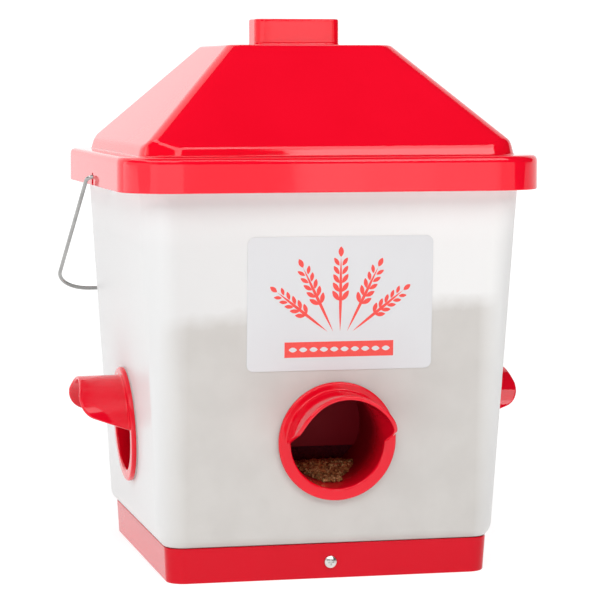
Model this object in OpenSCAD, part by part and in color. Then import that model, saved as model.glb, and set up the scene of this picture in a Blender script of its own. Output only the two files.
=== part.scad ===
// Hooded-port poultry feeder: a tapered square hopper on a screwed-on base tray, a lift-off
// pyramid lid, four hooded feed ports and a wire bail. Millimetres, +Z up.
// The origin is the centre of the base's underside, and the labelled front faces -Y.

/* [Base] */
// Width of the square base at its top edge
base_w = 237; // [232:1:240]
// Height of the base wall
base_h = 25.5; // [24:0.5:27]
// Radius of the base's upright corners
base_r = 13; // [10:1:16]
// How far each side of the base leans in at the ground
base_draft = 1.4; // [0:0.1:2]
// Thickness of the base's wall
base_wall = 2.6; // [2.4:0.1:2.7]

/* [Hopper] */
// Width of the hopper just above the base
hopper_low_w = 245.4; // [243:0.2:250]
// Width of the hopper level with the bottom of the lid
hopper_top_w = 274; // [270:1:278]
// Radius of the hopper's upright corners
hopper_r = 20; // [16:1:24]
// Height of the hopper's rim
rim_z = 299.2; // [299.2:0.1:299.2]
// Thickness of the hopper's wall
wall = 2.2; // [2:0.1:2.4]

/* [Lid] */
// Width of the lid over its skirt
lid_w = 304; // [302:1:306]
// Radius of the skirt's corners
lid_r = 38; // [34:1:40]
// Height of the skirt's lower edge
skirt_z = 277.6; // [276:0.2:279]
// Depth of the skirt
skirt_h = 24.5; // [24.5:0.1:24.5]
// Width of the roof where it stands on the skirt
roof_w = 270.8; // [266:1:274]
// Width of the roof's flat top
roof_top_w = 122; // [110:1:130]
// Height of the upright band under the roof's slope
band_h = 6.9; // [5:0.1:9]
// Height of the roof's flat top
roof_top_z = 380.6; // [370:1:384]
// Size of the grip block on top, in X
grip_w = 64; // [56:1:70]
// Size of the grip block on top, in Y
grip_d = 31; // [26:1:36]
// Height of the grip block
grip_h = 19.6; // [16:1:22]
// Thickness of the lid's shell
lid_wall = 2.6; // [2:0.1:2.6]

/* [Ports] */
// Height of a port's centre where it passes the wall
port_z = 100.5; // [99:0.5:104]
// How far a port sits to the right of its wall's centre, seen from outside
port_x = 2.3; // [0:0.1:3]
// Radius of a port's bore
port_bore_r = 34; // [33:0.5:34]
// Radius of a port's flange
flange_r = 42.6; // [42:0.1:44]
// How far a hood stands out from the hopper's wall
hood_out = 38.9; // [36:0.1:42]
// How deep a port reaches into the hopper
port_in = 70; // [62:1:72]
// Height of the feed gap under a port's inner baffle
feed_gap = 17; // [14:1:20]

/* [Bail] */
// Diameter of the bail's wire
wire_d = 3; // [2.8:0.1:3]
// Height of the bail's pivot
pivot_z = 284; // [283.5:0.1:284.2]
// Distance from the pivot to the far bar of the bail
bail_reach = 163.4; // [163.2:0.1:166]
// Distance between the bail's two arms
bail_w = 317; // [314:0.5:322]
// Radius of the bail's corners
bail_r = 26; // [20:1:30]

/* [Label] */
// Width of the label
label_w = 134; // [100:1:150]
// Height of the label
label_h = 95; // [60:1:97]
// Height of the label's centre
label_z = 198.7; // [198:0.1:199]
// How far the label sits to the right of the front's centre
label_x = 3.5; // [-5:0.5:5]

/* [Hidden] */
sides = ["front", "right", "back", "left"]; // a side's index times 90 turns the front there

red = "#e3122a";
clear_white = "#ecebe8";
steel = "#b9bbbd";
silicone = "#cfcbc6";

hull_fn = 32;
round_fn = 96;
slice = 0.01;         // thickness of a section that a hull starts or ends with
eps = 0.05;           // overrun of a cutting tool

lean = (hopper_top_w - hopper_low_w) / 2 / (skirt_z - base_h); // outward travel per height
lean_deg = atan(lean);
rim_half = hopper_half(rim_z);
turn_in_z = 33;       // where the hopper's wall starts to turn in over the base
turn_in_low_z = 27;
turn_in_half = base_w / 2 - 0.1;
neck_half = base_w / 2 - base_wall - 0.6;
neck_r = base_r - base_wall;
neck_low_z = 5.8;
rim_flange_half = lid_w / 2 - lid_wall - 2.2;
rim_flange_h = 3;
ear_r = 8;
ear_out = 147;
floor_z = 5.5;        // top of the base's floor
floor_low_z = 3;
screw_z = 12.1;
screw_r = 1.9;
screw_head_r = 4.3;
screw_seat = base_w / 2 - 0.35;
screw_len = 12;
spreader_half = neck_half - wall - 0.6;
spreader_low_z = 18.5;
spreader_edge_z = 28;
spreader_slope = 0.67;
spreader_top_half = 7;
spreader_wall = 2.4;
post_r = 6;
leg_at = 98;
leg_h = 30;
gasket_t = 1;
gasket_gap = 0.02;    // keeps a gasket clear of the wall behind it
flange_t = 3.5;
tube_r = port_bore_r + 2;
hood_wall = 3;
hood_step = 1.3;      // how much wider a hood is inside than the bore
hood_r = port_bore_r + hood_step + hood_wall;
hood_corner_r = 14.5;
hood_corner_y = 23.6;
hood_low = -2.1;      // where a hood's lower edge meets the wall, under the port's axis
hood_lean = 4;        // how far the hood's rim leans back at its top
hood_inset = 0.06;    // how far inside its corner's circle a hood's sloping edge runs
port_hole_r = tube_r + 1;
thread_pitch = 3;
thread_h = 0.8;
nut_r = 44;
nut_h = 8;
wire_r = wire_d / 2;
pin_bore_r = wire_r + 0.1;
bend_r = 5;           // centreline radius where an arm turns in to its pin
bail_rest_deg = -34.7;
notch_w = 8;
notch_top_z = pivot_z + 3;
notch_r = 3;
roof_r = 26;          // corner radius of the upright band
ridge_r = 8;          // radius along the roof's four ridges
label_t = 0.4;

// Half width of the hopper's outer wall at height z
function hopper_half(z) = hopper_low_w / 2 + lean * (z - base_h);

// A square of half width half, with corners of radius r
module rounded_square(half, r) rounded_box(2 * half, 2 * half, r);

module rounded_box(w, d, r) {
    square([w, d - 2 * r], center = true);
    square([w - 2 * r, d], center = true);
    for (x = [-1, 1], y = [-1, 1])
        translate([x * (w / 2 - r), y * (d / 2 - r)]) circle(r = r);
}

module section(z, half, r) translate([0, 0, z]) linear_extrude(slice) rounded_square(half, r);

// A block whose square section changes evenly from one half width to another
module loft(z0, half0, r0, z1, half1, r1) {
    hull() {
        section(z0, half0, r0, $fn = hull_fn);
        section(z1 - slice, half1, r1, $fn = hull_fn);
    }
}

// Children drawn with +Z out of the front wall are put at height z on side i's wall
module on_wall(i, z)
    rotate([0, 0, 90 * i]) translate([0, -hopper_half(z), z]) rotate([90 + lean_deg, 0, 0]) children();

// Children drawn about a port's axis are put on side i's wall
module on_port(i) on_wall(i, port_z) translate([port_x, 0, 0]) children();

// Children drawn with +Z out of an upright front face at distance y are put on side i
module on_side(i, y, z)
    rotate([0, 0, 90 * i]) translate([0, -y, z]) rotate([90, 0, 0]) children();

module hopper() color(clear_white) difference() {
    union() {
        difference() {
            union() {
                loft(turn_in_z, hopper_half(turn_in_z), hopper_r, rim_z, rim_half, hopper_r);
                loft(turn_in_low_z, turn_in_half, base_r,
                     turn_in_z + slice, hopper_half(turn_in_z), hopper_r);
                translate([0, 0, neck_low_z])
                    linear_extrude(turn_in_z - neck_low_z) rounded_square(neck_half, neck_r);
                translate([0, 0, rim_z - rim_flange_h])
                    linear_extrude(rim_flange_h) rounded_square(rim_flange_half, lid_r - 5);
            }
            loft(turn_in_z, hopper_half(turn_in_z) - wall, hopper_r - wall,
                 rim_z + eps, rim_half - wall, hopper_r - wall);
            loft(turn_in_low_z + wall, neck_half - wall, neck_r - wall,
                 turn_in_z + slice, hopper_half(turn_in_z) - wall, hopper_r - wall);
            translate([0, 0, neck_low_z - eps])
                linear_extrude(turn_in_z - neck_low_z) rounded_square(neck_half - wall, neck_r - wall);
        }
        for (i = [0, 2]) on_side(i, neck_half - eps, screw_z)
            mirror([0, 0, 1]) cylinder(r = 5, h = 7, $fn = round_fn);
        for (x = [-1, 1]) bail_ear(x);
    }
    for (i = [0:3]) on_port(i)
        translate([0, 0, -2 * wall]) cylinder(r = port_hole_r, h = 4 * wall, $fn = round_fn);
    for (i = [0, 2]) on_side(i, neck_half + eps, screw_z)
        mirror([0, 0, 1]) cylinder(r = screw_r + 0.1, h = 9, $fn = round_fn);
    translate([-lid_w / 2, 0, pivot_z]) rotate([0, 90, 0])
        cylinder(r = pin_bore_r, h = lid_w, $fn = round_fn);
}

// Boss that carries one end of the bail, with a web up to the rim flange
module bail_ear(x) {
    inner = hopper_half(pivot_z) - wall + 0.5;
    mirror([x < 0 ? 1 : 0, 0, 0]) translate([inner, 0, pivot_z]) rotate([0, 90, 0])
        cylinder(r = ear_r, h = ear_out - inner, $fn = round_fn);
    for (y = [-12, 12])
        translate([x > 0 ? rim_half - wall : -rim_half - 6, y - 1.2, pivot_z - ear_r])
            cube([wall + 6, 2.4, rim_z - rim_flange_h - pivot_z + ear_r + eps]);
}

module base_tray() color(red) difference() {
    union() {
        difference() {
            loft(0, base_w / 2 - base_draft, base_r, base_h, base_w / 2, base_r);
            translate([0, 0, floor_z])
                linear_extrude(base_h) rounded_square(base_w / 2 - base_wall, base_r - base_wall + 0.6);
            translate([0, 0, -eps])
                linear_extrude(floor_low_z + eps) rounded_square(base_w / 2 - base_draft - 3.6, base_r - 3);
        }
        for (a = [0, 90], o = [-60, 0, 60])
            rotate([0, 0, a]) translate([-base_w / 2 + 4, o - 1, 0.6])
                cube([base_w - 8, 2, floor_low_z]);
        cylinder(r = 9, h = floor_z, $fn = round_fn);
    }
    for (i = [0, 2]) on_side(i, base_w / 2 - 3 * base_wall, screw_z)
        cylinder(r = screw_r + 0.25, h = 4 * base_wall, $fn = round_fn);
    translate([0, 0, -eps]) cylinder(r = screw_r + 0.25, h = 2 * floor_z, $fn = round_fn);
    translate([0, 0, -eps]) cylinder(r = screw_head_r + 0.6, h = 3 + eps, $fn = round_fn);
}

// Hollow pyramid that turns the feed out towards the four ports
module feed_spreader() color(red) {
    apex_z = spreader_edge_z + spreader_slope * (spreader_half - spreader_top_half);
    difference() {
        union() {
            translate([0, 0, spreader_low_z])
                linear_extrude(spreader_edge_z - spreader_low_z) rounded_square(spreader_half, neck_r - wall);
            loft(spreader_edge_z - slice, spreader_half, neck_r - wall, apex_z, spreader_top_half, 3);
        }
        translate([0, 0, spreader_low_z - eps])
            linear_extrude(spreader_edge_z - spreader_low_z)
                rounded_square(spreader_half - spreader_wall, neck_r - wall - 1);
        loft(spreader_edge_z - 0.2, spreader_half - spreader_wall, neck_r - wall - 1,
             apex_z - spreader_wall - 1.5, spreader_top_half - 2, 2);
    }
    difference() {
        translate([0, 0, floor_z + 0.1]) cylinder(r = post_r, h = apex_z - floor_z - 2, $fn = round_fn);
        translate([0, 0, floor_z]) cylinder(r = screw_r + 0.1, h = 14, $fn = round_fn);
    }
    for (x = [-1, 1], y = [-1, 1]) translate([x * leg_at, y * leg_at, floor_z + 0.1])
        cylinder(r = 4, h = leg_h, $fn = round_fn);
}

// Pan-head screw with a cross recess, its head's underside at z = 0 and its shank along -Z
module pan_screw(shank) color(steel) {
    head_h = 2.6;
    difference() {
        rotate_extrude($fn = round_fn) intersection() {
            translate([0, -4.2]) circle(r = 6.8, $fn = round_fn);
            square([screw_head_r, head_h]);
        }
        for (a = [0, 90]) rotate([0, 0, a])
            translate([-2.1, -0.45, head_h - 1.5]) cube([4.2, 0.9, 3]);
    }
    translate([0, 0, -shank]) cylinder(r = screw_r, h = shank + eps, $fn = round_fn);
    for (k = [0:5]) translate([0, 0, -shank + 1 + 1.4 * k]) rotate_extrude($fn = round_fn)
        polygon([[screw_r - 0.4, -0.3], [screw_r + 0.07, 0], [screw_r - 0.4, 0.3]]);
}

module screw(i) on_side(i, screw_seat, screw_z) pan_screw(screw_len);

module spreader_screw() translate([0, 0, 3]) rotate([180, 0, 0]) pan_screw(screw_len);

// Roof of half width half at the foot of its slope: a pyramid trimmed to the band's rounded outline.
// The band runs down from the slope by drop.
module roof(half, band_r, ridge, slope_z, top_z, top_half, drop) {
    run = (half - top_half) / (top_z - slope_z); // inward travel per height
    intersection() {
        loft(slope_z - drop, half + run * drop, ridge, top_z, top_half, ridge);
        translate([0, 0, slope_z - drop]) linear_extrude(drop + top_z - slope_z)
            rounded_square(half, band_r, $fn = round_fn);
    }
}

module lid() color(red) difference() {
    edge_z = skirt_z + skirt_h;
    slope_z = edge_z + band_h;
    union() {
        translate([0, 0, skirt_z]) linear_extrude(skirt_h) rounded_square(lid_w / 2, lid_r, $fn = round_fn);
        roof(roof_w / 2, roof_r, ridge_r, slope_z, roof_top_z, roof_top_w / 2, band_h + 1);
        translate([0, 0, roof_top_z - 1]) linear_extrude(grip_h + 1)
            rounded_box(grip_w, grip_d, 6.7, $fn = round_fn);
    }
    translate([0, 0, skirt_z - eps]) linear_extrude(skirt_h - lid_wall + eps)
        rounded_square(lid_w / 2 - lid_wall, lid_r - lid_wall, $fn = round_fn);
    roof(roof_w / 2 - lid_wall, roof_r - lid_wall, ridge_r - 2, slope_z - 1,
         roof_top_z - lid_wall, roof_top_w / 2 - 1, band_h + lid_wall);
    translate([0, 0, roof_top_z - 2 * lid_wall]) linear_extrude(grip_h + lid_wall)
        rounded_box(grip_w - 2 * lid_wall, grip_d - 2 * lid_wall, 4.1, $fn = round_fn);
    for (x = [-1, 1]) bail_notch(x);
}

// Opening in the skirt that lets the bail's wire out
module bail_notch(x) translate([x * lid_w / 2, 0, 0]) rotate([90, 0, 90])
    translate([0, 0, -6]) linear_extrude(12) {
        translate([-notch_w / 2, skirt_z - 1]) square([notch_w, notch_top_z - notch_r - skirt_z + 1]);
        translate([-notch_w / 2 + notch_r, skirt_z - 1])
            square([notch_w - 2 * notch_r, notch_top_z - skirt_z + 1]);
        for (y = [-1, 1]) translate([y * (notch_w / 2 - notch_r), notch_top_z - notch_r])
            circle(r = notch_r, $fn = round_fn);
    }

// Wire handle, drawn flat with its pivot on the X axis and its far bar at +Y
module bail() color(steel)
    translate([0, 0, pivot_z]) rotate([bail_rest_deg, 0, 0]) {
        arm_x = bail_w / 2;
        pin_end = hopper_half(pivot_z) - wall - 0.6;
        corner_y = bail_reach - bail_r;
        for (m = [0, 1]) mirror([m, 0, 0]) {
            translate([pin_end - 1.4, 0, 0]) rotate([0, 90, 0]) cylinder(r = 2.8, h = 1.4, $fn = round_fn);
            translate([pin_end, 0, 0]) rotate([0, 90, 0])
                cylinder(r = wire_r, h = arm_x - bend_r - pin_end, $fn = round_fn);
            translate([arm_x - bend_r, bend_r, 0]) rotate([0, 0, -90]) bend(bend_r);
            translate([arm_x, bend_r, 0]) rotate([-90, 0, 0])
                cylinder(r = wire_r, h = corner_y - bend_r, $fn = round_fn);
            translate([arm_x - bail_r, corner_y, 0]) bend(bail_r);
        }
        translate([bail_r - arm_x, bail_reach, 0]) rotate([0, 90, 0])
            cylinder(r = wire_r, h = 2 * (arm_x - bail_r), $fn = round_fn);
    }

// Quarter turn of wire, anticlockwise from the X axis
module bend(radius) rotate_extrude(angle = 90, $fn = round_fn)
    translate([radius, 0]) circle(r = wire_r, $fn = round_fn);

// One feed port, drawn with +Z out of the wall: flange, hood, tube and inner baffle in one moulding
module port(i) color(red) on_port(i) {
    rotate_extrude($fn = round_fn) {
        translate([port_bore_r, gasket_t]) square([flange_r - port_bore_r - 1.5, flange_t]);
        translate([port_bore_r, gasket_t]) square([flange_r - port_bore_r, flange_t - 1.5]);
        translate([flange_r - 1.5, gasket_t + flange_t - 1.5]) circle(r = 1.5, $fn = round_fn);
        translate([port_bore_r, -port_in]) square([tube_r - port_bore_r, port_in + gasket_t + eps]);
        for (k = [0:2]) translate([tube_r, -5 - thread_pitch * k])
            polygon([[-0.2, -1.1], [0, -1], [thread_h, 0], [0, 1], [-0.2, 1.1]]);
    }
    intersection() {
        rotate_extrude($fn = round_fn)
            translate([hood_r - hood_wall, gasket_t + 1]) square([hood_wall, hood_out]);
        rotate([0, -90, 0]) translate([0, 0, -flange_r]) linear_extrude(2 * flange_r) hood_side();
    }
    intersection() {
        translate([0, 0, -port_in]) cylinder(r = tube_r - 1, h = 2.4, $fn = round_fn);
        translate([-flange_r, feed_gap - port_bore_r, -port_in - 1]) cube([2 * flange_r, 2 * flange_r, 5]);
    }
}

// Side view of a hood: X runs out from the wall and Y up from the port's axis
module hood_side() {
    cx = hood_out - hood_corner_r;
    r = hood_corner_r - hood_inset;
    reach = norm([cx, hood_corner_y - hood_low]);
    a = atan2(hood_corner_y - hood_low, cx) - asin(r / reach);
    t = sqrt(reach * reach - r * r);
    polygon([[0, hood_low], [t * cos(a), hood_low + t * sin(a)], [cx, hood_corner_y],
             [hood_out, hood_corner_y], [hood_out, hood_corner_y + 2.5],
             [hood_out - hood_lean, hood_r + 2], [0, hood_r + 2]]);
    translate([cx, hood_corner_y]) circle(r = hood_corner_r, $fn = round_fn);
}

module port_gasket(i) color(silicone) on_port(i) difference() {
    translate([0, 0, gasket_gap]) cylinder(r = flange_r - 1, h = gasket_t - gasket_gap, $fn = round_fn);
    translate([0, 0, -1]) cylinder(r = port_hole_r, h = 4, $fn = round_fn);
}

// Ring that clamps a port from inside the hopper
module port_nut(i) color(red) on_port(i) translate([0, 0, -wall - 0.1 - nut_h]) difference() {
    union() {
        rotate_extrude($fn = round_fn)
            translate([port_hole_r, 0]) square([nut_r - port_hole_r, nut_h]);
        for (k = [0, 1]) translate([0, 0, nut_h - 4.2 - thread_pitch * k]) rotate_extrude($fn = round_fn)
            polygon([[port_hole_r + 0.3, -1], [port_hole_r - 0.75, 0], [port_hole_r + 0.3, 1]]);
    }
    for (a = [0:30:330]) rotate([0, 0, a]) translate([nut_r + 2, 0, -1])
        cylinder(r = 4, h = nut_h + 2, $fn = round_fn);
}

module label() color("#dfe1e6") on_wall(0, label_z)
    translate([label_x, 0, eps]) linear_extrude(label_t) rounded_box(label_w, label_h, 5, $fn = round_fn);

hopper();
base_tray();
feed_spreader();
spreader_screw();
screw(0);  // screw_front
screw(2);  // screw_back
lid();
bail();
label();
for (i = [0:3]) {
    port(i);
    port_gasket(i);
    port_nut(i);
}
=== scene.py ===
"""A square poultry feeder: milky hopper, red base, lid and hooded ports, wire bail, and the feed inside.

Lengths are in millimetres where a name or comment doesn't say otherwise, and meshes are made in metres.
The labelled front faces -Y and +Z is up, as in the CAD model.
"""
import random
from math import asin, atan2, cos, degrees, hypot, pi, radians, sin, sqrt, tan

import bmesh
import bpy
from mathutils import Matrix, Vector, noise


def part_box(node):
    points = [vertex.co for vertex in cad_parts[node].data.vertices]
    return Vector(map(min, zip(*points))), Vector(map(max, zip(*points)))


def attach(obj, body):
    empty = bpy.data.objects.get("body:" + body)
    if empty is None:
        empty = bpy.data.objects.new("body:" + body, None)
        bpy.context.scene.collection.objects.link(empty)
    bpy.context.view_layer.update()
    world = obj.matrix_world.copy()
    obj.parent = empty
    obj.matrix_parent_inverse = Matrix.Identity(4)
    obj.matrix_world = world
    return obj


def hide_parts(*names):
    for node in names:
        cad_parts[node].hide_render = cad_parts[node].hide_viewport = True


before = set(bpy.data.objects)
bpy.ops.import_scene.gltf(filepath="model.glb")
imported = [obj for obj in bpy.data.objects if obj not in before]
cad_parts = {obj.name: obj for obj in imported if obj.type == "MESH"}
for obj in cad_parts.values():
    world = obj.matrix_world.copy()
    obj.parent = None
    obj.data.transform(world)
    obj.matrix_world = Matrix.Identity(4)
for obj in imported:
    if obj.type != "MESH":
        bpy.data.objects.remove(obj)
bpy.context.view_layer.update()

MM = 0.001
SIDES = ("front", "right", "back", "left")

# The part's driving sizes, read off the frame's boxes
LID_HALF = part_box("lid")[1][0] / MM
LID_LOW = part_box("lid")[0][2] / MM
LID_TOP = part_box("lid")[1][2] / MM
BASE_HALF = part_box("base_tray")[1][0] / MM
BASE_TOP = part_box("base_tray")[1][2] / MM
RIM_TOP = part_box("hopper")[1][2] / MM
NECK_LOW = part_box("hopper")[0][2] / MM

# Sizes that part.scad also gives
LID_WALL = 2.6
LEDGE_Z = 302.1             # top of the lid's skirt
BAND_Z = 309.0              # where the roof's slope starts
ROOF_Z = 380.6              # the roof's flat top
ROOF_HALF, PEAK_HALF = 135.4, 61
SKIRT_R, BAND_R = 38, 26
GRIP_HALF, GRIP_R = (32, 15.5), 6.7
NOTCH_HALF, NOTCH_RISE, NOTCH_R = 4, 3, 3
RIM_HALF, RIM_H = 147.2, 3
HOPPER_LOW_HALF, HOPPER_TOP_HALF, HOPPER_R, WALL = 122.7, 137.0, 20, 2.2
LEAN = (HOPPER_TOP_HALF - HOPPER_LOW_HALF) / (LID_LOW - BASE_TOP)
BASE_R, BASE_DRAFT, BASE_WALL = 13, 1.4, 2.6
PORT_X, PORT_Z = 2.3, 100.5
BORE_R, TUBE_R, FLANGE_R = 34, 36, 42.6
FLANGE_BACK, FLANGE_FACE = 1.0, 4.5
TUBE_END = -70
FEED_GAP_Y = -17            # lower edge of a port's inner baffle, from its axis
HOOD_OUT, HOOD_THICK = 38.9, 3
HOOD_CORNER_R, HOOD_CORNER_Y = 14.5, 23.6
HOOD_LOW, HOOD_LEAN = -2.1, 4
PIVOT_Z, BAIL_REST_DEG = 284, -34.7
EAR_R, EAR_OUT, WEB_Y = 8, 147, 12
WIRE_R, PIN_BORE_R = 1.5, 1.6
ARM_BEND_R, HANDLE_BEND_R = 5, 26
HANDLE_REACH = 163.4        # from the pivot to the handle's far bar
LABEL_W, LABEL_H, LABEL_R, LABEL_T = 134, 95, 5, 0.4
LABEL_X, LABEL_Z = 3.5, 198.7
LABEL_LIFT = 0.05           # room between the wall and the label
LABEL_FACE = LABEL_LIFT + LABEL_T

# Sizes that differ from part.scad or aren't in it
RIDGE_R = 12                # radius along the roof's four ridges, 8 in part.scad
BAND_LEAN = 0.9             # how far the band under the roof's slope leans, each way from upright
HOOD_FLARE = 1.4            # how much wider a hood is at its rim than at its flange
HOOD_FILLET, FLANGE_ROUND = 1.4, 1.6
ARM_X, ARM_SPLAY = 156.2, 2.2   # the handle's arms at their bend, and how far they splay, in degrees
FEED_Z = 190                # the feed's level in the hopper
PORT_INSIDE_FROM = 0.112    # metres from the part's axis; nearer it, a port's faces take the less glossy inside material

CORNER_STEPS = 14
ROUND_STEPS = 6


def hopper_half(z):
    """Half width of the hopper's outer wall at height z."""
    return HOPPER_LOW_HALF + LEAN * (z - BASE_TOP)


def on_wall(side, z):
    """Places millimetres drawn with +Z out of the wall and +Y up it on one side's wall, in metres."""
    return (
        Matrix.Rotation(side * pi / 2, 4, "Z")
        @ Matrix.Translation((0, -hopper_half(z) * MM, z * MM))
        @ Matrix.Rotation(pi / 2 + atan2(LEAN, 1), 4, "X")
        @ Matrix.Scale(MM, 4)
    )


def on_port(side):
    """Places millimetres drawn about a port's axis."""
    return on_wall(side, PORT_Z) @ Matrix.Translation((PORT_X, 0, 0))


# Mesh tools


def ring(half_x, half_y, corner, z, side_steps=1, corner_steps=CORNER_STEPS):
    """Points of a rounded rectangle at height z, anticlockwise."""
    points = []
    for quarter, (sx, sy) in enumerate(((1, 1), (-1, 1), (-1, -1), (1, -1))):
        cx, cy = sx * (half_x - corner), sy * (half_y - corner)
        for k in range(corner_steps + 1):
            a = (quarter + k / corner_steps) * pi / 2
            points.append(Vector((cx + corner * cos(a), cy + corner * sin(a), z)))
        nx, ny = ((-1, 1), (-1, -1), (1, -1), (1, 1))[quarter]
        a = (quarter + 1) * pi / 2
        end = Vector((nx * (half_x - corner) + corner * cos(a), ny * (half_y - corner) + corner * sin(a), z))
        start = points[-1].copy()
        for k in range(1, side_steps):
            points.append(start.lerp(end, k / side_steps))
    return points


def rounded(profile, closed=False):
    """Swaps each corner of a profile for a curve. A row is (offset, corner radius, height, rounding)."""
    rows, n = [], len(profile)
    for i, row in enumerate(profile):
        p, r = Vector(row[:3]), row[3] if len(row) > 3 else 0
        if r == 0 or (not closed and i in (0, n - 1)):
            rows.append(p)
            continue
        before = p + (Vector(profile[i - 1][:3]) - p).normalized() * r
        after = p + (Vector(profile[(i + 1) % n][:3]) - p).normalized() * r
        for k in range(ROUND_STEPS + 1):
            t = k / ROUND_STEPS
            rows.append(before * (1 - t) ** 2 + p * 2 * t * (1 - t) + after * t * t)
    return rows


def skin(rings, closed=False):
    """Vertices and faces of a loft through rings of points, capped at both ends or closed on itself."""
    n, m = len(rings[0]), len(rings)
    verts = [p for points in rings for p in points]
    faces = []
    for i in range(m if closed else m - 1):
        a, b = i * n, (i + 1) % m * n
        for k in range(n):
            k2 = (k + 1) % n
            faces.append((a + k, a + k2, b + k2, b + k))
    if not closed:
        faces.append(tuple(range(n - 1, -1, -1)))
        faces.append(tuple(range((m - 1) * n, m * n)))
    return verts, faces


def loft(profile, base=(0, 0), closed=False):
    """A loft of rounded rectangles along a profile, in millimetres."""
    return skin([ring(base[0] + h, base[1] + h, r, z) for h, r, z in rounded(profile, closed)], closed)


def circle(radius, steps):
    """Points of a circle about the origin, as pairs."""
    return [(radius * cos(2 * pi * k / steps), radius * sin(2 * pi * k / steps)) for k in range(steps)]


def arc(x, y, radius, start, end, steps=4):
    """Points of an arc about (x, y) between two angles in degrees, as pairs."""
    angles = [radians(start + (end - start) * k / steps) for k in range(steps + 1)]
    return [(x + radius * cos(a), y + radius * sin(a)) for a in angles]


def build(name, parts, place=Matrix.Scale(MM, 4)):
    """One object from (vertices, faces) parts, moved by place."""
    mesh = bpy.data.meshes.new(name)
    bm = bmesh.new()
    for verts, faces in parts:
        made = [bm.verts.new(place @ Vector(v)) for v in verts]
        for f in faces:
            bm.faces.new([made[i] for i in f])
    bmesh.ops.recalc_face_normals(bm, faces=bm.faces)
    bm.to_mesh(mesh)
    bm.free()
    obj = bpy.data.objects.new(name, mesh)
    bpy.context.scene.collection.objects.link(obj)
    return obj


def apply_modifiers(obj):
    """Bakes an object's modifiers into its mesh."""
    graph = bpy.context.evaluated_depsgraph_get()
    mesh = bpy.data.meshes.new_from_object(obj.evaluated_get(graph))
    obj.modifiers.clear()
    obj.data = mesh


def combine(obj, other, operation):
    """Applies a boolean of two closed objects to the first and removes the second."""
    mod = obj.modifiers.new("combine", "BOOLEAN")
    mod.operation, mod.object, mod.solver = operation, other, "EXACT"
    apply_modifiers(obj)
    bpy.data.objects.remove(other)


def finish_piece(obj, material, body, replaces=(), sharp=32):
    """Gives a piece its material, smooth shading and body, and hides the CAD nodes that it replaces."""
    mesh = obj.data
    mesh.materials.clear()
    mesh.materials.append(material)
    mesh.polygons.foreach_set("material_index", [0] * len(mesh.polygons))
    mesh.shade_smooth()
    mesh.set_sharp_from_angle(angle=radians(sharp))
    normals = obj.modifiers.new("normals", "WEIGHTED_NORMAL")
    normals.keep_sharp = True
    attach(obj, body)
    if replaces:
        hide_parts(*replaces)


def tube(radius, z0, z1, steps=96):
    """A closed cylinder along Z."""
    return flat(circle(radius, steps), z0, z1)


def flat(outline, low, high):
    """A closed plate with this outline, a list of pairs, between two heights."""
    return skin([[Vector((x, y, z)) for x, y in outline] for z in (low, high)])


def block(lo, hi):
    """A closed box between two corners."""
    (x0, y0, z0), (x1, y1, z1) = lo, hi
    return flat([(x0, y0), (x1, y0), (x1, y1), (x0, y1)], z0, z1)


# Materials


class Nodes:
    """Short calls for building a material's node tree."""

    def __init__(self, name):
        self.material = bpy.data.materials.new(name)
        self.material.use_nodes = True
        self.tree = self.material.node_tree
        self.tree.nodes.clear()
        self.output = self.add("ShaderNodeOutputMaterial")

    def add(self, kind, **settings):
        node = self.tree.nodes.new(kind)
        for key, value in settings.items():
            setattr(node, key, value)
        return node

    def set(self, socket, value):
        if isinstance(value, bpy.types.NodeSocket):
            self.tree.links.new(value, socket)
        else:
            socket.default_value = value

    def coords(self):
        return self.add("ShaderNodeTexCoord").outputs["Object"]

    def xyz(self, vector):
        """The three parts of a vector."""
        node = self.add("ShaderNodeSeparateXYZ")
        self.set(node.inputs[0], vector)
        return node.outputs

    def scaled(self, vector, scale):
        node = self.add("ShaderNodeMapping")
        self.set(node.inputs["Vector"], vector)
        node.inputs["Scale"].default_value = scale
        return node.outputs[0]

    def noise(self, vector, scale, detail=2.0, rough=0.5):
        node = self.add("ShaderNodeTexNoise")
        self.set(node.inputs["Vector"], vector)
        for key, value in (("Scale", scale), ("Detail", detail), ("Roughness", rough)):
            node.inputs[key].default_value = value
        return node.outputs["Fac"]

    def voronoi(self, vector, scale, output="Distance"):
        node = self.add("ShaderNodeTexVoronoi")
        self.set(node.inputs["Vector"], vector)
        node.inputs["Scale"].default_value = scale
        return node.outputs[output]

    def math(self, operation, a, b=0.0):
        node = self.add("ShaderNodeMath", operation=operation)
        self.set(node.inputs[0], a)
        self.set(node.inputs[1], b)
        return node.outputs[0]

    def span(self, value, low, high, to_low=0.0, to_high=1.0):
        """value's stretch from low to high, mapped to to_low .. to_high."""
        node = self.add("ShaderNodeMapRange")
        for key, v in (("Value", value), ("From Min", low), ("From Max", high),
                       ("To Min", to_low), ("To Max", to_high)):
            self.set(node.inputs[key], v)
        return node.outputs[0]

    def mix(self, factor, a, b):
        node = self.add("ShaderNodeMix", data_type="RGBA")
        self.set(node.inputs["Factor"], factor)
        self.set(node.inputs["A"], a)
        self.set(node.inputs["B"], b)
        return node.outputs["Result"]

    def bump(self, height, distance, strength=1.0, normal=None):
        node = self.add("ShaderNodeBump")
        self.set(node.inputs["Height"], height)
        node.inputs["Distance"].default_value = distance
        node.inputs["Strength"].default_value = strength
        if normal is not None:
            self.set(node.inputs["Normal"], normal)
        return node.outputs[0]

    def principled(self, **inputs):
        node = self.add("ShaderNodeBsdfPrincipled")
        for key, value in inputs.items():
            self.set(node.inputs[key.replace("_", " ")], value)
        return node.outputs[0]

    def done(self, shader):
        self.tree.links.new(shader, self.output.inputs["Surface"])
        return self.material


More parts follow.
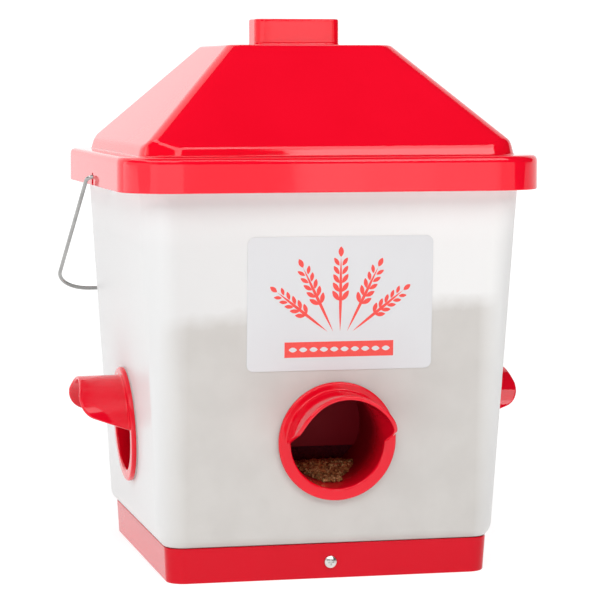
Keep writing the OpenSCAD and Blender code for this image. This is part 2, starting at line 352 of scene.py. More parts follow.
def red_plastic(name, tone=1.0, gloss=0.5, dust_and_shade=False):
    """Glossy moulded polypropylene: faint waviness, fine scuffs and slightly uneven colour.

    tone scales the colour, and tones under 1 are painted shade; gloss is the specular level. The last flag
    dulls the parts of a port that lie inside the hopper, as dust would, and darkens them with painted shade.
    """
    n = Nodes(name)
    at = n.coords()
    clouds = n.noise(at, 9, 3)
    deep = (0.87 * tone, 0.0018 * tone, 0.018 * tone, 1)
    light = (0.91 * tone, 0.0024 * tone, 0.021 * tone, 1)
    colour = n.mix(n.span(clouds, 0.35, 0.65), deep, light)
    scuffs = n.noise(n.scaled(at, (1, 1, 3)), 160, 4, 0.65)
    rough = n.span(scuffs, 0.4, 0.75, 0.035, 0.075)
    # Painted shade on a port's parts inside the hopper, darker deeper in; the added roughness is dust.
    if dust_and_shade:
        x, y, _ = n.xyz(at)
        out = n.math("MAXIMUM", n.math("ABSOLUTE", x), n.math("ABSOLUTE", y))
        uneven = n.math("MULTIPLY", n.noise(at, 60, 3), 0.006)
        depth = n.span(n.math("ADD", out, uneven), 0.131, 0.096)
        colour = n.mix(depth, colour, (0.24, 0.0016, 0.011, 1))
        rough = n.math("ADD", rough, n.math("MULTIPLY", depth, 0.4))
    waves = n.bump(n.noise(at, 14, 1), 0.0006, 0.02)
    grain = n.bump(n.noise(at, 900, 2), 0.000004, 0.5, waves)
    return n.done(n.principled(Base_Color=colour, Roughness=rough, IOR=1.47, Specular_IOR_Level=gloss,
                               Normal=grain))


def feed_shade(n, at):
    """How far the feed behind the wall dims it: fully below the feed's uneven level, not near the sides."""
    x, _, z = n.xyz(at)
    ripple = n.math("MULTIPLY", n.math("SUBTRACT", n.noise(at, 55, 3), 0.5), 0.012)
    tilted = n.math("ADD", n.math("MULTIPLY", x, 0.06), (FEED_Z + 3.5) * MM)
    level = n.math("ADD", tilted, ripple)
    depth = n.span(n.math("SUBTRACT", level, z), -0.006, 0.006)
    inside = n.math("MULTIPLY", n.span(x, -0.125, -0.105), n.span(x, 0.122, 0.105))
    return n.math("MULTIPLY", depth, inside)


def milky_plastic():
    """Thin translucent polypropylene that scatters light back and lets a little of it through."""
    n = Nodes("milky_plastic")
    at = n.coords()
    x, _, z = n.xyz(at)
    # Painted light: the wall brightens from left to right, and the left wall has a tone of its own, for how
    # the light falls on them.
    across = n.math("ADD", x, n.math("MULTIPLY", n.noise(at, 12, 3), 0.03))
    painted_light_across = n.mix(n.span(across, -0.10, 0.08), (0.78, 0.772, 0.766, 1), (0.875, 0.868, 0.86, 1))
    plain = n.mix(n.span(x, -0.125, -0.112), (0.81, 0.81, 0.81, 1), painted_light_across)
    patches = n.span(n.noise(at, 38, 3), 0.35, 0.65)
    # Painted shade of the feed seen through the wall, mottled.
    mottled_shade = n.mix(patches, (0.622, 0.598, 0.570, 1), (0.652, 0.628, 0.600, 1))
    colour = n.mix(feed_shade(n, at), plain, mottled_shade)
    rough = n.span(n.noise(at, 300, 3), 0.35, 0.7, 0.34, 0.42)
    flow = n.bump(n.noise(n.scaled(at, (1, 1, 0.35)), 30, 2), 0.0005, 0.2)
    grain = n.bump(n.noise(at, 1400, 2), 0.00004, 0.6, flow)
    # Painted light: a faint white glow towards the top of the wall, under the lid's skirt, where its shadow
    # falls.
    painted_glow = n.span(z, 0.240, 0.280, 0.0, 0.10)
    front = n.principled(Base_Color=colour, Roughness=rough, IOR=1.49, Normal=grain,
                         Emission_Color=(1, 0.98, 0.975, 1), Emission_Strength=painted_glow)
    through = n.add("ShaderNodeBsdfTranslucent")
    n.set(through.inputs["Color"], colour)
    both = n.add("ShaderNodeMixShader")
    both.inputs[0].default_value = 0.12
    n.set(both.inputs[1], front)
    n.set(both.inputs[2], through.outputs[0])
    return n.done(both.outputs[0])


def steel(name, tint, along, polish):
    """Zinc-plated steel with drawn lines along one axis and dull patches; polish is its roughness range."""
    n = Nodes(name)
    at = n.coords()
    stretch = tuple(0.05 if axis == along else 1.0 for axis in "XYZ")
    lines = n.noise(n.scaled(at, stretch), 2600, 3)
    patches = n.noise(at, 60, 3)
    colour = n.mix(n.span(patches, 0.35, 0.7), tint, tuple(0.8 * c for c in tint[:3]) + (1,))
    rough = n.span(lines, 0.3, 0.7, *polish)
    return n.done(n.principled(Base_Color=colour, Metallic=1.0, Roughness=rough,
                               Normal=n.bump(lines, 0.00002, 0.5)))


def rubber():
    """Pale matte silicone."""
    n = Nodes("gasket_rubber")
    at = n.coords()
    colour = n.mix(n.noise(at, 80), (0.62, 0.60, 0.58, 1), (0.68, 0.66, 0.64, 1))
    return n.done(n.principled(Base_Color=colour, Roughness=0.6, Normal=n.bump(n.noise(at, 900), 0.00004)))


def label_vinyl():
    """Satin coated label stock with a faint paper tooth."""
    n = Nodes("label_vinyl")
    at = n.coords()
    colour = n.mix(n.noise(at, 40, 3), (0.65, 0.65, 0.665, 1), (0.675, 0.677, 0.69, 1))
    tooth = n.bump(n.noise(at, 1800, 3), 0.00002, 0.5)
    return n.done(n.principled(Base_Color=colour, Roughness=0.32, IOR=1.48, Normal=tooth))


def label_ink():
    """Red print with a slightly uneven cover."""
    n = Nodes("label_ink")
    at = n.coords()
    colour = n.mix(n.noise(at, 500, 2), (0.80, 0.055, 0.045, 1), (0.87, 0.08, 0.065, 1))
    return n.done(n.principled(Base_Color=colour, Roughness=0.34, IOR=1.48,
                               Normal=n.bump(n.noise(at, 1800, 3), 0.00002, 0.4)))


def feed_grain(name, low=None):
    """Crushed grain: tan, gold and brown crumbs, with painted shade, a dark wine red, below about the height
    low in metres.
    """
    n = Nodes(name)
    at = n.coords()
    cells = n.voronoi(at, 420, "Color")
    tones = n.add("ShaderNodeSeparateColor")
    n.set(tones.inputs[0], cells)
    warm = n.mix(tones.outputs[0], (0.17, 0.075, 0.022, 1), (0.50, 0.28, 0.10, 1))
    colour = n.mix(n.span(tones.outputs[1], 0.72, 0.95), warm, (0.66, 0.47, 0.22, 1))
    # Painted shade: below the height low, deep in the hopper and behind the ports' baffles, the feed turns a
    # dark wine red.
    if low is not None:
        colour = n.mix(n.span(n.xyz(at)["Z"], low, low + 0.03), (0.085, 0.003, 0.010, 1), colour)
    return n.done(n.principled(Base_Color=colour, Roughness=0.8, Specular_IOR_Level=0.2,
                               Normal=n.bump(n.voronoi(at, 420), 0.0012, 0.8)))


RED = red_plastic("red_plastic")
# Painted shade: the base and the ports use darker copies of the lid's red, tone 0.70 and 0.87.
SHADED_BASE_RED = red_plastic("red_plastic_base_shaded", tone=0.70, gloss=0.2)
SHADED_PORT_RED = red_plastic("red_plastic_port", tone=0.87, gloss=0.45, dust_and_shade=True)
PORT_INSIDE = red_plastic("red_plastic_port_inside", tone=0.87, gloss=0.12, dust_and_shade=True)
MILKY = milky_plastic()
WIRE = steel("steel_wire", (0.42, 0.42, 0.41, 1), "X", (0.06, 0.16))
SCREW = steel("screw_steel", (0.72, 0.71, 0.69, 1), "Z", (0.24, 0.36))
RUBBER = rubber()
VINYL = label_vinyl()
INK = label_ink()
GRAIN = feed_grain("feed_grain")
SHADED_GRAIN = feed_grain("feed_in_shade", 0.125)


# Lid


def square_reach(angle, half, corner):
    """Distance from the centre to the edge of a rounded square, in the direction angle."""
    c, s = abs(cos(angle)), abs(sin(angle))
    inner = half - corner
    straight = half / max(c, s)
    if straight * min(c, s) <= inner:
        return straight
    along = inner * (c + s)
    return along + sqrt(max(along ** 2 - 2 * inner ** 2 + corner ** 2, 0))


def roof_foot(angle, half, band, ridge, low_z, top_half, top_z):
    """Height where the roof's pyramid meets its upright band, which is higher at the corners."""
    target = square_reach(angle, half, band)
    low, high = low_z - 2, low_z + 20
    for _ in range(30):     # halves the range until it pins the height down
        z = (low + high) / 2
        at = half + (top_half - half) * (z - low_z) / (top_z - low_z)
        low, high = (z, high) if square_reach(angle, at, ridge) > target else (low, z)
    return z


def roof_rows(angle, half, band, ridge, low_z, top_half, top_z, soft, steps=8):
    """The band's top edge and the slope above it, as rows for rounded()."""
    foot = roof_foot(angle, half, band, ridge, low_z, top_half, top_z)
    rows = [(square_reach(angle, half, band), 0, foot, soft)]
    clear = 4               # slope left free at both ends for the rounding
    for k in range(1, steps):
        z = foot + clear + (top_z - foot - 2 * clear) * (k - 1) / (steps - 2)
        at = half + (top_half - half) * (z - low_z) / (top_z - low_z)
        rows.append((square_reach(angle, at, ridge), 0, z))
    return rows


def lid_profile(angle):
    """The lid's closed section in one direction, from under the peak round the skirt to the peak."""
    def at(half, corner):
        return square_reach(angle, half, corner)

    inner_band = (ROOF_HALF - LID_WALL, BAND_R - LID_WALL)
    skirt_in = (LID_HALF - LID_WALL, SKIRT_R - LID_WALL)
    inside = roof_rows(angle, *inner_band, RIDGE_R - 2, BAND_Z - 1, PEAK_HALF - 1, ROOF_Z - LID_WALL, 1.5)
    outside = roof_rows(angle, ROOF_HALF - BAND_LEAN, BAND_R, RIDGE_R, BAND_Z, PEAK_HALF, ROOF_Z, 2.6)
    return rounded([
        (at(PEAK_HALF - 12, 4), 0, ROOF_Z - LID_WALL),
        (at(PEAK_HALF - 1, RIDGE_R - 2), 0, ROOF_Z - LID_WALL),
        *inside[::-1],
        (at(*inner_band), 0, LEDGE_Z - LID_WALL, 1.2),
        (at(*skirt_in), 0, LEDGE_Z - LID_WALL, 2),
        (at(*skirt_in), 0, LID_LOW, 0.7),
        (at(LID_HALF, SKIRT_R), 0, LID_LOW, 0.9),
        (at(LID_HALF, SKIRT_R), 0, LEDGE_Z, 4.8),
        (at(ROOF_HALF + BAND_LEAN, BAND_R), 0, LEDGE_Z, 1.2),
        *outside,
        (at(PEAK_HALF, RIDGE_R), 0, ROOF_Z, 2.2),
        (at(PEAK_HALF - 12, 4), 0, ROOF_Z),
    ])


def lid_angles():
    """Directions round the lid, set close together at its corners."""
    coarse, fine, edge = 4.25, 0.55, 34
    quarter = [coarse * k for k in range(8)] + [edge + fine * k for k in range(41)]
    quarter += [90 - a for a in quarter[7:0:-1]]
    return [radians(90 * q + a) for q in range(4) for a in quarter]


def lid():
    """Roof, skirt and grip in one moulding."""
    columns = [[Vector((p.x * cos(a), p.x * sin(a), p.z)) for p in lid_profile(a)] for a in lid_angles()]
    obj = build("lid_moulding", [skin([list(points) for points in zip(*columns)])])
    foot = 2.5              # how far the grip's foot spreads, rounded into the roof
    outer = loft([
        (foot, GRIP_R + foot, ROOF_Z - 1),
        (foot, GRIP_R + foot, ROOF_Z + 0.02),
        (0, GRIP_R, ROOF_Z + 0.02, 2.4),
        (0, GRIP_R, LID_TOP, 1.7),
        (-5, GRIP_R - 5, LID_TOP),
    ], GRIP_HALF)
    combine(obj, build("grip", [outer]), "UNION")
    inner_r = GRIP_R - LID_WALL
    inner = loft([
        (-LID_WALL, inner_r, ROOF_Z - 2 * LID_WALL),
        (-LID_WALL, inner_r, LID_TOP - LID_WALL, 1.2),
        (-LID_WALL - 3, inner_r - 3, LID_TOP - LID_WALL),
    ], GRIP_HALF)
    combine(obj, build("grip_hollow", [inner]), "DIFFERENCE")
    for side in (-1, 1):
        combine(obj, bail_notch(side), "DIFFERENCE")
    finish_piece(obj, RED, "lid", ["lid"])


def bail_notch(side):
    """Cutter for the opening in the skirt around the bail's pin, open at the bottom."""
    turn_y, turn_z = NOTCH_HALF - NOTCH_R, PIVOT_Z + NOTCH_RISE - NOTCH_R
    outline = [(-NOTCH_HALF, LID_LOW - 3)]
    outline += arc(-turn_y, turn_z, NOTCH_R, 180, 90, 8) + arc(turn_y, turn_z, NOTCH_R, 90, 0, 8)
    outline.append((NOTCH_HALF, LID_LOW - 3))
    rings = [[Vector((side * x, y, z)) for y, z in outline] for x in (LID_HALF - 8, LID_HALF + 4)]
    return build("notch", [skin(rings)])


# Hopper


def hopper():
    """Tapered bucket with a turned-out rim and a neck that plugs into the base tray."""
    neck_half, neck_r = BASE_HALF - BASE_WALL - 0.6, BASE_R - BASE_WALL
    low = BASE_TOP + 0.25   # underside of the wall where it overhangs the neck
    turn = BASE_TOP + 5.5   # height where the wall has turned up
    rim_low, rim_r = RIM_TOP - RIM_H, SKIRT_R - 5
    shell = loft([
        (neck_half, neck_r, NECK_LOW, 0.6),
        (neck_half, neck_r, low, 0.3),
        (BASE_HALF - 0.4, BASE_R, low, 2.2),
        (hopper_half(turn), HOPPER_R, turn, 4.5),
        (hopper_half(rim_low), HOPPER_R, rim_low, 1.5),
        (RIM_HALF, rim_r, rim_low, 0.6),
        (RIM_HALF, rim_r, RIM_TOP, 0.8),
        (hopper_half(RIM_TOP) - WALL, HOPPER_R - WALL, RIM_TOP, 0.8),
        (hopper_half(turn) - WALL, HOPPER_R - WALL, turn + 1, 4),
        (neck_half - WALL, neck_r - WALL, low + WALL, 2),
        (neck_half - WALL, neck_r - WALL, NECK_LOW, 0.6),
    ], closed=True)
    obj = build("hopper_shell", [shell])
    for side in range(4):
        combine(obj, build("hole", [tube(TUBE_R + 1, -8, 8)], on_port(side)), "DIFFERENCE")
    for side in (-1, 1):
        combine(obj, ear(side), "UNION")
        place = (Matrix.Scale(MM, 4) @ Matrix.Translation((0, 0, PIVOT_Z))
                 @ Matrix.Rotation(side * pi / 2, 4, "Y"))
        combine(obj, build("pin_hole", [tube(PIN_BORE_R, 120, 160, 32)], place), "DIFFERENCE")
    finish_piece(obj, MILKY, "feeder", ["hopper"])


def ear(side):
    """Boss for one end of the bail, with two webs up to the rim."""
    inner = hopper_half(PIVOT_Z) - WALL + 0.5
    profile = [(EAR_R, inner), (EAR_R, EAR_OUT - 1.2), (EAR_R - 0.4, EAR_OUT - 0.4), (EAR_R - 1.2, EAR_OUT)]
    rings = [[Vector((side * x, y, PIVOT_Z + z)) for y, z in circle(r, 48)] for r, x in profile]
    obj = build("ear", [skin(rings)])
    half_web = 1.2
    x0, x1 = sorted((side * (inner + 0.3), side * (inner + 8)))
    for y in (-WEB_Y, WEB_Y):
        web = block((x0, y - half_web, PIVOT_Z - EAR_R), (x1, y + half_web, RIM_TOP - 2.5))
        combine(obj, build("web", [web]), "UNION")
    return obj


# Base tray


def base_tray():
    """Shallow tray with a recessed, ribbed underside."""
    low_half = BASE_HALF - BASE_DRAFT
    foot = 3.6              # width of the rim that it stands on
    shell = loft([
        (low_half - foot, BASE_R - 3, 3.0),
        (low_half - foot, BASE_R - 3, 0, 0.8),
        (low_half, BASE_R, 0, 1.6),
        (BASE_HALF, BASE_R, BASE_TOP, 0.9),
        (BASE_HALF - BASE_WALL, BASE_R - 2, BASE_TOP, 0.7),
        (BASE_HALF - BASE_WALL, BASE_R - 2, 5.5),
    ])
    obj = build("base_moulding", [shell])
    end, rib_low, rib_high, pitch = low_half - 3, 0.6, 3.2, 60
    places = (-pitch, 0, pitch)
    ribs = [block((o - 1, -end, rib_low), (o + 1, end, rib_high)) for o in places]
    ribs += [block((-end, o - 1, rib_low), (end, o + 1, rib_high)) for o in places]
    for rib in ribs:
        combine(obj, build("rib", [rib]), "UNION")
    finish_piece(obj, SHADED_BASE_RED, "feeder", ["base_tray"])


# Ports


def hood_reach(y):
    """How far a hood stands out at height y above the port's axis, without its flange."""
    cx = HOOD_OUT - HOOD_CORNER_R
    rise = HOOD_CORNER_Y - HOOD_LOW
    reach = hypot(cx, rise)
    slope = atan2(rise, cx) - asin(HOOD_CORNER_R / reach)
    touch = HOOD_LOW + sqrt(reach ** 2 - HOOD_CORNER_R ** 2) * sin(slope)
    if y <= touch:
        return (y - HOOD_LOW) / tan(slope)
    if y <= HOOD_CORNER_Y:
        return cx + sqrt(HOOD_CORNER_R ** 2 - (HOOD_CORNER_Y - y) ** 2)
    lean_y = HOOD_CORNER_Y + 2.5
    back = max(y - lean_y, 0) / (BORE_R + HOOD_THICK + 2 - lean_y)
    return HOOD_OUT - HOOD_LEAN * back


def flare(u):
    """How much wider a hood is at distance u out than at its flange."""
    return HOOD_FLARE * max(u - FLANGE_FACE, 0) / (HOOD_OUT - FLANGE_FACE)


def port_profile(reach):
    """Closed section of a port at one angle, as (radius, distance out) points, for a hood of that reach."""
    edge = HOOD_THICK / 2
    tip = max(reach, FLANGE_FACE)
    lip = BORE_R + edge + flare(tip)
    middle = (tip + FLANGE_FACE) / 2
    outer = BORE_R + HOOD_THICK
    fillet = min(max((tip - edge - FLANGE_FACE) / 2, 0), HOOD_FILLET)
    waist = (max(tip - edge, FLANGE_FACE) + FLANGE_FACE + fillet) / 2
    rim_r, rim_u = FLANGE_R - FLANGE_ROUND, FLANGE_FACE - FLANGE_ROUND
    tube_middle = TUBE_END / 2
    return [
        (BORE_R, TUBE_END),
        (BORE_R, tube_middle),
        (BORE_R, -4),
        (BORE_R, FLANGE_FACE - edge - 1),
        (BORE_R + flare(middle), middle - edge),
        *arc(lip, tip - edge, edge, 180, 90),
        *((r, max(u, FLANGE_FACE)) for r, u in arc(lip, tip - edge, edge, 90, 0)[1:]),
        (outer + flare(middle), waist),
        *arc(outer + fillet, FLANGE_FACE + fillet, fillet, 180, 270),
        *arc(rim_r, rim_u, FLANGE_ROUND, 90, 0),
        (FLANGE_R, FLANGE_BACK + 0.3),
        (FLANGE_R - 0.4, FLANGE_BACK),
        (TUBE_R, FLANGE_BACK),
        (TUBE_R, tube_middle),
        (TUBE_R, TUBE_END),
    ]


def port(side):
    """One port, swept round its axis, with a duller material inside the hopper."""
    hood_ends, coarse, fine = (10, 170), 3.0, 1.0
    mean_r = BORE_R + HOOD_THICK / 2 + HOOD_FLARE / 2
    rings, angle = [], 0.0
    while angle < 360:
        c, s = cos(radians(angle)), sin(radians(angle))
        rings.append([Vector((r * c, r * s, u)) for r, u in port_profile(hood_reach(mean_r * s))])
        near_hood_end = min(abs((angle - end + 180) % 360 - 180) for end in hood_ends) < 22
        angle += fine if near_hood_end else coarse
    obj = build("port_moulding_" + SIDES[side], [skin(rings, closed=True)], on_port(side))
    combine(obj, build("baffle", [baffle()], on_port(side)), "UNION")
    finish_piece(obj, SHADED_PORT_RED, "feeder", ["port_" + SIDES[side]])
    obj.data.materials.append(PORT_INSIDE)
    for face in obj.data.polygons:
        if max(abs(face.center.x), abs(face.center.y)) < PORT_INSIDE_FROM:
            face.material_index = 1


def baffle():
    """Plate across a port's inner end, with the feed gap under it."""
    r = BORE_R + 0.8
    start = degrees(asin(FEED_GAP_Y / r))
    return flat(arc(0, 0, r, start, 180 - start, 48), TUBE_END + 0.4, TUBE_END + 2.8)


# Label


def label():
    """The sticker, its print and the kernels left blank in it."""
    rows = [(0, LABEL_R, LABEL_LIFT), (0, LABEL_R, LABEL_FACE, 0.12), (-1, LABEL_R - 1, LABEL_FACE)]
    place = on_wall(0, LABEL_Z) @ Matrix.Translation((LABEL_X, 0, 0))
    sheet = build("label_sheet", [loft(rows, (LABEL_W / 2, LABEL_H / 2))], place)
    finish_piece(sheet, VINYL, "feeder", ["label"])
    finish_piece(build("label_print", label_print(), place), INK, "feeder")
    finish_piece(build("label_blanks", label_blanks(), place), VINYL, "feeder")


def printed(outline):
    """A film of ink with this outline on the label's face."""
    return flat(outline, LABEL_LIFT + LABEL_T - 0.05, LABEL_FACE + 0.03)


def leaf(x, y, turn, length, width, steps=9):
    """Outline of a pointed leaf or kernel that starts at (x, y) and points along turn, in degrees."""
    c, s = cos(radians(turn)), sin(radians(turn))
    side = [(length * k / steps, width / 2 * sin(pi * k / steps) ** 0.8) for k in range(steps + 1)]
    points = [(u, -v) for u, v in side] + [(u, v) for u, v in side[-2:0:-1]]
    return [(x + u * c - v * s, y + u * s + v * c) for u, v in points]


def ear_of_grain(x, y, turn, stem, pairs, size):
    """Ink for one ear: a stem with kernels in pairs and one at the tip."""
    pitch = 0.72 * size
    c, s = cos(radians(turn)), sin(radians(turn))
    films = [printed(leaf(x, y, turn, stem + pitch * pairs, 2.2))]
    for k in range(pairs):
        d = stem + pitch * k
        shrink = 1 - 0.05 * k
        for bend, off in ((-34, -1.1), (34, 1.1)):
            start = (x + d * c - off * s, y + d * s + off * c)
            films.append(printed(leaf(*start, turn + bend, size * shrink, 0.42 * size * shrink)))
    d = stem + pitch * pairs
    shrink = 1 - 0.05 * pairs
    films.append(printed(leaf(x + d * c, y + d * s, turn, 1.15 * size * shrink, 0.45 * size)))
    return films


def label_print():
    """A sheaf of five ears over a plain bar."""
    films = []
    for x, turn, stem, size in ((0, 90, 22, 8.6), (5, 64, 22, 8), (-5, 116, 22, 8), (9, 38, 20, 7.4),
                                (-9, 142, 20, 7.4)):
        films += ear_of_grain(x, -20, turn, stem, 5, size)
    left, right, low, high = -40, 39, -38, -27
    films.append(printed([(left, low), (right, low), (right, high), (left, high)]))
    return films


def label_blanks():
    """A row of kernels left pale in the bar."""
    return [flat(leaf(-37 + 7.5 * k, -32.5, 0, 6, 3.4), LABEL_FACE, LABEL_FACE + 0.05) for k in range(10)]


# Feed


def feed_level(x, y):
    """Height of the feed's surface, heaped a little towards +X."""
    return FEED_Z + 1 + 0.07 * x - 0.00025 * x * x + 3 * noise.noise(Vector((x, y, 0)) / 45)


def feed_bulk():
    """The feed in the hopper, with room left for the four ports."""
    def outline(z):
        half = hopper_half(z) - WALL - 0.25
        return ring(half, half, HOPPER_R - WALL, z, 24, 6)

    rings = [outline(z) for z in (34, 90, 140)]
    edge, steps = outline(FEED_Z), 36
    for k in range(steps):
        s = 1 - k / steps
        points = []
        for p in edge:
            x, y = p.x * s, p.y * s
            fine = 1.1 * noise.noise(Vector((x, y, 7)) / 5) + 0.8 * noise.noise(Vector((x, y, 3)) / 2.2)
            points.append(Vector((x, y, feed_level(x, y) + fine)))
        rings.append(points)
    obj = build("feed_bulk", [skin(rings)])
    for side in range(4):
        place = on_port(side)
        combine(obj, build("room", [tube(TUBE_R + 0.3, TUBE_END - 0.5, 12)], place), "DIFFERENCE")
        combine(obj, build("room", [tube(45, -11, 12)], place), "DIFFERENCE")
    finish_piece(obj, SHADED_GRAIN, "feeder", sharp=60)


GOLDEN = (1 + sqrt(5)) / 2
LUMP = [(-1, GOLDEN, 0), (1, GOLDEN, 0), (-1, -GOLDEN, 0), (1, -GOLDEN, 0),
        (0, -1, GOLDEN), (0, 1, GOLDEN), (0, -1, -GOLDEN), (0, 1, -GOLDEN),
        (GOLDEN, 0, -1), (GOLDEN, 0, 1), (-GOLDEN, 0, -1), (-GOLDEN, 0, 1)]
LUMP_FACES = [(0, 11, 5), (0, 5, 1), (0, 1, 7), (0, 7, 10), (0, 10, 11), (1, 5, 9), (5, 11, 4),
              (11, 10, 2), (10, 7, 6), (7, 1, 8), (3, 9, 4), (3, 4, 2), (3, 2, 6), (3, 6, 8),
              (3, 8, 9), (4, 9, 5), (2, 4, 11), (6, 2, 10), (8, 6, 7), (9, 8, 1)]


def crumb(rng, at, size):
    """One crushed grain: a small rough lump, a stretched icosahedron."""
    spin = rng.uniform(0, 2 * pi)
    axis = Vector((rng.gauss(0, 1), rng.gauss(0, 1), 1)).normalized()
    turn = Matrix.Rotation(spin, 3, axis)
    stretch = Vector((rng.uniform(0.8, 1.5), rng.uniform(0.7, 1.1), rng.uniform(0.5, 0.9)))
    verts = []
    for corner in LUMP:
        p = Vector([a * b for a, b in zip(corner, stretch)]) * rng.uniform(0.8, 1.15)
        verts.append(turn @ p * (size / 3.8) + at)
    return verts, LUMP_FACES


def pile_height(x, u):
    """Height of the feed above the floor of a port, x across it and u out of the wall."""
    front, peak, end = -20, -45, -66
    if u > peak:
        t = min(max((front - u) / (front - peak), 0), 1)
        rise = t * t * (3 - 2 * t)
    else:
        rise = 1 - 0.35 * min((peak - u) / (peak - end), 1)
    return 9.5 * rise * (1 - 0.35 * ((x - 7) / 30) ** 2)


def port_feed(side):
    """The feed that has run out under a port's baffle."""
    rng = random.Random(40 + side)
    r, steps, rings = BORE_R - 0.15, 26, []
    for i in range(24):
        u = -19.6 + i / 23 * (TUBE_END - 6 + 19.6)
        half = sqrt(max(r * r - (r - max(pile_height(7, u), 0.1)) ** 2, 0.04))
        top, bottom = [], []
        for k in range(steps + 1):
            x = -half + 2 * half * k / steps
            floor = -sqrt(max(r * r - x * x, 0))
            rough = (0.9 * noise.noise(Vector((x, u, side * 9)) / 3)
                     + 1.6 * noise.noise(Vector((x, u, 5 + side * 9)) / 11))
            lift = rough * min(pile_height(x, u) / 6, 1) if u > TUBE_END + 4 else min(rough, 0) - 0.2
            top.append(Vector((x, max(-r + pile_height(x, u) + lift, floor), u)))
            bottom.append(Vector((x, floor - 0.02, u)))
        rings.append(top + bottom[-2:0:-1])
    parts = [skin(rings)]
    for _ in range(520):
        u = rng.uniform(TUBE_END + 3.6, -24) if rng.random() < 0.88 else rng.uniform(-26, -15)
        half = sqrt(r * r - (r - max(pile_height(7, u), 1.2)) ** 2)
        x = max(-half + 1, min(half - 1, rng.uniform(-1, 1) * half if u < -26 else rng.gauss(5, 6)))
        floor = -sqrt((r - 0.7) ** 2 - x * x)
        height = max(-r + pile_height(x, u), floor) + rng.uniform(0.1, 0.9)
        parts.append(crumb(rng, Vector((x, height, u)), rng.uniform(1.3, 3.0)))
    obj = build("feed_in_port_" + SIDES[side], parts, on_port(side))
    finish_piece(obj, GRAIN, "feeder", sharp=40)


# Wire handle


def wire_path():
    """Centreline of the handle, flat with its pivot on the X axis, as (x, y, heading in degrees) points."""
    splay = radians(ARM_SPLAY)
    aside, along = sin(splay), cos(splay)
    start_x = ARM_X - ARM_BEND_R * along
    arm_y = ARM_BEND_R * (1 - aside)
    corner_y = HANDLE_REACH - HANDLE_BEND_R
    arm_len = (corner_y - HANDLE_BEND_R * aside - arm_y) / along
    corner_x = ARM_X + arm_len * aside - HANDLE_BEND_R * along
    half = [(hopper_half(PIVOT_Z) - WALL - 0.6, 0, 0)]
    for x, y, radius, start, end, steps in ((start_x, ARM_BEND_R, ARM_BEND_R, -90, -ARM_SPLAY, 8),
                                            (corner_x, corner_y, HANDLE_BEND_R, -ARM_SPLAY, 90, 16)):
        for k in range(steps + 1):
            a = start + (end - start) * k / steps
            half.append((x + radius * cos(radians(a)), y + radius * sin(radians(a)), a + 90))
    return half + [(-x, y, 360 - heading) for x, y, heading in half[::-1]]


def wire_handle():
    """The bent wire, with a flattened head at each end that keeps it in its boss."""
    rings = []
    for x, y, heading in wire_path():
        across = Vector((-sin(radians(heading)), cos(radians(heading)), 0))
        rings.append([Vector((x, y, z)) + across * out for out, z in circle(WIRE_R, 20)])
    heads = []
    inner = hopper_half(PIVOT_Z) - WALL - 2
    for side in (-1, 1):
        discs = [[Vector((side * (inner + x), y, z)) for y, z in circle(r, 32)]
                 for x, r in ((0, 2.3), (0.3, 2.8), (1.2, 2.8), (1.45, 2.5))]
        heads.append(skin(discs))
    place = (Matrix.Scale(MM, 4) @ Matrix.Translation((0, 0, PIVOT_Z))
             @ Matrix.Rotation(radians(BAIL_REST_DEG), 4, "X"))
    obj = build("wire_handle", [skin(rings), *heads], place)
    finish_piece(obj, WIRE, "bail", ["bail"])


# Camera, light and backdrop, in metres

LIGHTS_AIM_Z = 0.2          # height that the raised lights point at


def look_at(obj, target):
    """Turns an object so that its -Z points at the target."""
    obj.rotation_euler = (Vector(target) - obj.location).to_track_quat("-Z", "Y").to_euler()


def camera():
    """A long lens to the front left, at the height of the roof and tilted slightly down."""
    data = bpy.data.cameras.new("camera")
    data.sensor_width, data.lens = 36, 156.96
    data.clip_end = 50
    obj = bpy.data.objects.new("camera", data)
    obj.location = (-0.43515, -1.91354, 0.35803)
    look_at(obj, (0.00463, -0.00107, 0.19000))
    bpy.context.scene.collection.objects.link(obj)
    bpy.context.scene.camera = obj


def softbox(name, centre, target, size, radiance):
    """A soft rectangular light whose whole face has this radiance."""
    data = bpy.data.lights.new(name, "AREA")
    data.shape, data.size, data.size_y = "RECTANGLE", *size
    data.energy = radiance * pi * size[0] * size[1]
    obj = bpy.data.objects.new(name, data)
    obj.location = centre
    look_at(obj, target)
    bpy.context.scene.collection.objects.link(obj)


def overhead(name, azimuths, elevations, radiance):
    """A raised softbox that spans these azimuths, from -Y towards +X, and elevations, in degrees."""
    azimuth, elevation = (radians(sum(pair) / 2) for pair in (azimuths, elevations))
    distance = 3.0
    width = 2 * distance * cos(elevation) * tan(radians(azimuths[1] - azimuths[0]) / 2)
    height = 2 * distance * tan(radians(elevations[1] - elevations[0]) / 2)
    centre = (distance * cos(elevation) * sin(azimuth), -distance * cos(elevation) * cos(azimuth),
              LIGHTS_AIM_Z + distance * sin(elevation))
    softbox(name, centre, (0, 0, LIGHTS_AIM_Z), (width, height), radiance)


def studio():
    """Soft lights: two low ones in front, one on the left, four raised ones, and a faint surround."""
    front, z = -2.88, 0.24
    softbox("front_left", (-0.911, front, z), (-0.911, 0, z), (2.578, 0.7), 0.9)
    width = 0.125
    for k in range(5):      # strips that fade out to the right
        x = 0.59 + width * (k + 0.5)
        softbox("front_right_" + str(k), (x, front, z), (x, 0, z), (width, 0.6), 1.2 - 0.24 * k)
    softbox("side_left", (-2.2, -0.67, 0.42), (0, -0.67, 0.42), (4.42, 1.06), 1.05)
    overhead("key_back_left", (-140, -75), (44, 62), 2.6)
    overhead("key_left", (-70, 10), (32, 58), 3.2)
    overhead("key_right", (12.9, 45), (34, 58), 3.3)
    overhead("rim_right", (12.9, 42), (25, 34), 5.5)
    world = bpy.data.worlds.new("studio")
    bpy.context.scene.world = world
    world.use_nodes = True
    background = world.node_tree.nodes["Background"]
    background.inputs["Color"].default_value = (0.04, 0.04, 0.04, 1)
    background.inputs["Strength"].default_value = 1.0


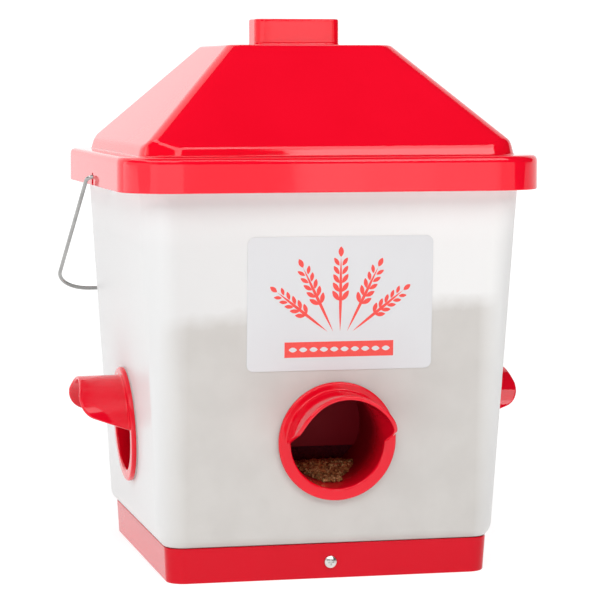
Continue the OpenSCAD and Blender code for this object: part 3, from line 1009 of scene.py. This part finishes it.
def backdrop():
    """A pale, faintly glowing floor that steps down well in front of the object and curves up behind it."""
    low, half_width, bend_y, bend_r, top = -0.42, 12, 3.2, 3, 10
    profile = [(-9.4, 0.7), (-9, low), (-1.4, low), (-1.2, 0)]
    profile += arc(bend_y, bend_r, bend_r, -90, 0, 12) + [(bend_y + bend_r, top)]
    verts = [(x, y, z) for y, z in profile for x in (-half_width, half_width)]
    faces = [(2 * i, 2 * i + 1, 2 * i + 3, 2 * i + 2) for i in range(len(profile) - 1)]
    mesh = bpy.data.meshes.new("floor")
    mesh.from_pydata(verts, [], faces)
    mesh.shade_smooth()
    obj = bpy.data.objects.new("floor", mesh)
    bpy.context.scene.collection.objects.link(obj)
    n = Nodes("floor_paper")
    at = n.coords()
    y = n.xyz(at)["Y"]
    tone = n.mix(n.noise(at, 3), (0.36, 0.36, 0.36, 1), (0.38, 0.38, 0.38, 1))
    behind = n.span(y, 0.3, 4.0, 0.78, 1.0)
    in_front = n.span(y, -3.0, -1.4, 0.85, 0.52)
    step = n.span(y, -1.3, -1.22)
    glow = n.math("ADD", n.math("MULTIPLY", behind, step),
                  n.math("MULTIPLY", in_front, n.math("SUBTRACT", 1.0, step)))
    mesh.materials.append(n.done(n.principled(Base_Color=tone, Roughness=0.9, Specular_IOR_Level=0.0,
                                              Emission_Color=(1, 1, 1, 1), Emission_Strength=glow)))


def dress_cad_nodes():
    """Better materials for the CAD nodes that stay."""
    wanted = {"feed_spreader": RED}
    wanted.update({node: SCREW for node in ("spreader_screw", "screw_front", "screw_back")})
    for side in SIDES:
        wanted["port_nut_" + side] = RED
        wanted["port_gasket_" + side] = RUBBER
    for node, material in wanted.items():
        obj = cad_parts[node]
        for slot in obj.material_slots:
            slot.link = "OBJECT"
            slot.material = material


camera()
studio()
backdrop()
lid()
hopper()
base_tray()
for side in range(4):
    port(side)
    port_feed(side)
label()
wire_handle()
feed_bulk()
dress_cad_nodes()

view = bpy.context.scene.view_settings
view.view_transform = "Standard"
view.look = "None"
